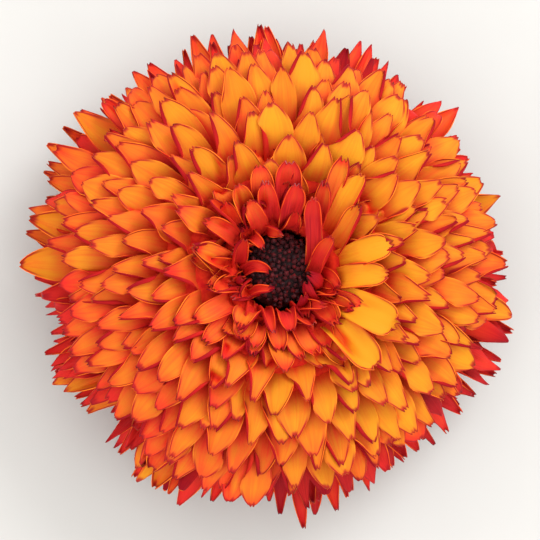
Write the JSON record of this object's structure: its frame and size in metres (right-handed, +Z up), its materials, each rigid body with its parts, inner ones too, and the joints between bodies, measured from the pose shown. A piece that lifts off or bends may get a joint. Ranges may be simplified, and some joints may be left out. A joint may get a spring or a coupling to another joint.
{
  "type": "marigold flower head",
  "caption": "Fully double pot marigold head with overlapping orange rays round a small dark disc, picked with a short stub of stalk and lying face up.",
  "frame": {"origin": "middle of the stalk's cut end, on the surface that the head rests on", "axes": "+Z up through the flower, the way it faces; the florets turn round Z in a spiral, with the first one towards +X"},
  "size_m": [0.0743, 0.0747, 0.0317],
  "materials": {
    "stalk": "matte",
    "bract": "matte",
    "ray": "satin",
    "inner": "satin",
    "disc": "matte"
  },
  "bodies": {
    "root": {"stalk_stub": "stalk", "involucre": "bract", "ray_florets": "ray", "inner_florets": "inner", "disc_florets": "disc"}
  },
  "joints": []
}
